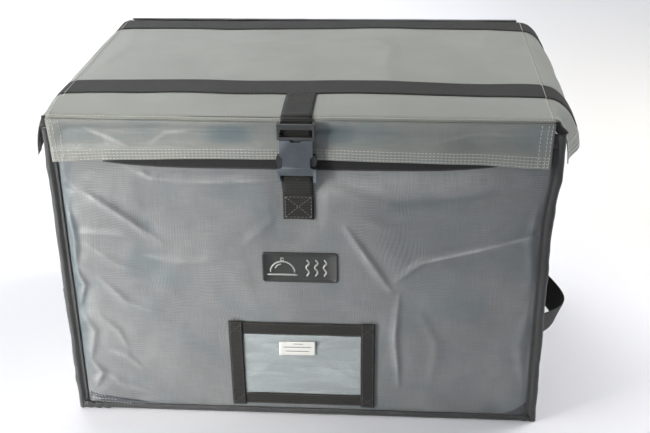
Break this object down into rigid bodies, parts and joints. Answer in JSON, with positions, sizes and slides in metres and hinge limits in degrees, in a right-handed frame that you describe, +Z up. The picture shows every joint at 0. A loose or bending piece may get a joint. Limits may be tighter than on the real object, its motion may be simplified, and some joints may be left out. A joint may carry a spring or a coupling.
{
  "type": "insulated food carrier",
  "caption": "Soft-sided insulated box for hot food, with a hinged padded lid, hook-and-loop flaps, a buckled closure strap, side handles and a clear document pocket.",
  "frame": {"origin": "centre of the rectangular base, on the surface the carrier stands on", "axes": "+Z up, +X to the right along the carrier's long side, -Y out of the front face that carries the buckle, emblem and pocket"},
  "size_m": [0.729, 0.445, 0.4308],
  "materials": {
    "body_fabric": "woven",
    "lid_fabric": "woven",
    "binding_tape": "woven",
    "hook_and_loop": "matte",
    "insulation_foam": "matte",
    "liner_sheet": "satin",
    "stiffener_board": "matte",
    "webbing": "woven",
    "buckle_plastic": "satin",
    "emblem_rubber": "matte",
    "emblem_print": "matte",
    "pocket_vinyl": "gloss",
    "pocket_paper": "matte"
  },
  "bodies": {
    "carrier_body": {"shell_front_panel": "body_fabric", "shell_back_panel": "body_fabric", "shell_left_panel": "body_fabric", "shell_right_panel": "body_fabric", "base_panel": "binding_tape", "base_board": "stiffener_board", "insulation_front": "insulation_foam", "insulation_back": "insulation_foam", "insulation_left": "insulation_foam", "insulation_right": "insulation_foam", "insulation_base": "insulation_foam", "liner_front": "liner_sheet", "liner_back": "liner_sheet", "liner_left": "liner_sheet", "liner_right": "liner_sheet", "liner_floor": "liner_sheet", "rim_binding": "binding_tape", "edge_binding_front": "binding_tape", "edge_binding_back": "binding_tape", "base_binding_sides": "binding_tape", "corner_patches": "binding_tape", "loop_tape_front": "hook_and_loop", "loop_tape_left": "hook_and_loop", "loop_tape_right": "hook_and_loop", "emblem_patch": "emblem_rubber", "emblem_relief": "emblem_print", "pocket_window": "pocket_vinyl", "pocket_tape_rails": "webbing", "pocket_tape_stiles": "webbing", "pocket_label": "pocket_paper", "lower_strap_base": "webbing", "hinge_tape": "binding_tape", "handle_anchors_left": "webbing", "handle_anchors_right": "webbing", "lower_strap_loop": "webbing"},
    "lid": {"lid_top_panel": "lid_fabric", "lid_board": "stiffener_board", "lid_insulation": "insulation_foam", "lid_liner": "liner_sheet", "lid_edge_band": "binding_tape", "lid_seam_cords": "lid_fabric", "lid_strap_front": "webbing", "lid_strap_rear": "webbing", "buckle_strap_anchor": "webbing"},
    "front_flap": {"front_flap": "lid_fabric", "hook_tape_front": "hook_and_loop"},
    "left_flap": {"left_flap": "lid_fabric", "hook_tape_left": "hook_and_loop", "left_strap_ends": "webbing"},
    "right_flap": {"right_flap": "lid_fabric", "hook_tape_right": "hook_and_loop", "right_strap_ends": "webbing"},
    "buckle_strap": {"buckle_strap": "webbing", "buckle_male": "buckle_plastic"},
    "buckle_female": {"buckle_female": "buckle_plastic"},
    "prong_left": {"buckle_prong_left": "buckle_plastic"},
    "prong_right": {"buckle_prong_right": "buckle_plastic"},
    "handle_left": {"handle_left": "webbing"},
    "handle_right": {"handle_right": "webbing"}
  },
  "joints": [
    {"name": "lid_hinge", "type": "hinge", "parent": "carrier_body", "child": "lid", "pos_m": [0, 0.2138, 0.4292], "axis": [-1, 0, 0], "range_deg": [0, 240]},
    {"name": "front_flap_hinge", "type": "hinge", "parent": "lid", "child": "front_flap", "pos_m": [0, -0.215, 0.4292], "axis": [-1, 0, 0], "range_deg": [0, 98]},
    {"name": "right_flap_hinge", "type": "hinge", "parent": "lid", "child": "right_flap", "pos_m": [0.3045, 0, 0.4291], "axis": [0, -1, 0], "range_deg": [-5, 60], "stiffness_Nm_per_rad": 0.1},
    {"name": "left_flap_hinge", "type": "hinge", "parent": "lid", "child": "left_flap", "pos_m": [-0.3045, 0, 0.4291], "axis": [0, 1, 0], "range_deg": [-5, 60], "stiffness_Nm_per_rad": 0.1},
    {"name": "buckle_strap_swing", "type": "hinge", "parent": "front_flap", "child": "buckle_strap", "pos_m": [0, -0.2179, 0.4299], "axis": [-1, 0, 0], "range_deg": [0, 98]},
    {"name": "buckle_release", "type": "slide", "parent": "carrier_body", "child": "buckle_female", "axis": [0, 0, -1], "range_m": [0, 0.042], "deforming": ["lower_strap_loop"]},
    {"name": "prong_squeeze_right", "type": "hinge", "parent": "buckle_strap", "child": "prong_right", "pos_m": [0.016, -0.22475, 0.4021], "axis": [0, 1, 0], "range_deg": [0, 8], "stiffness_Nm_per_rad": 1.5},
    {"name": "prong_squeeze_left", "type": "hinge", "parent": "buckle_strap", "child": "prong_left", "pos_m": [-0.016, -0.22475, 0.4021], "axis": [0, -1, 0], "range_deg": [0, 8], "stiffness_Nm_per_rad": 1.5},
    {"name": "handle_lift_right", "type": "hinge", "parent": "carrier_body", "child": "handle_right", "pos_m": [0.307, 0, 0.138], "axis": [0, -1, 0], "range_deg": [0, 100]},
    {"name": "handle_lift_left", "type": "hinge", "parent": "carrier_body", "child": "handle_left", "pos_m": [-0.307, 0, 0.138], "axis": [0, 1, 0], "range_deg": [0, 100]}
  ]
}
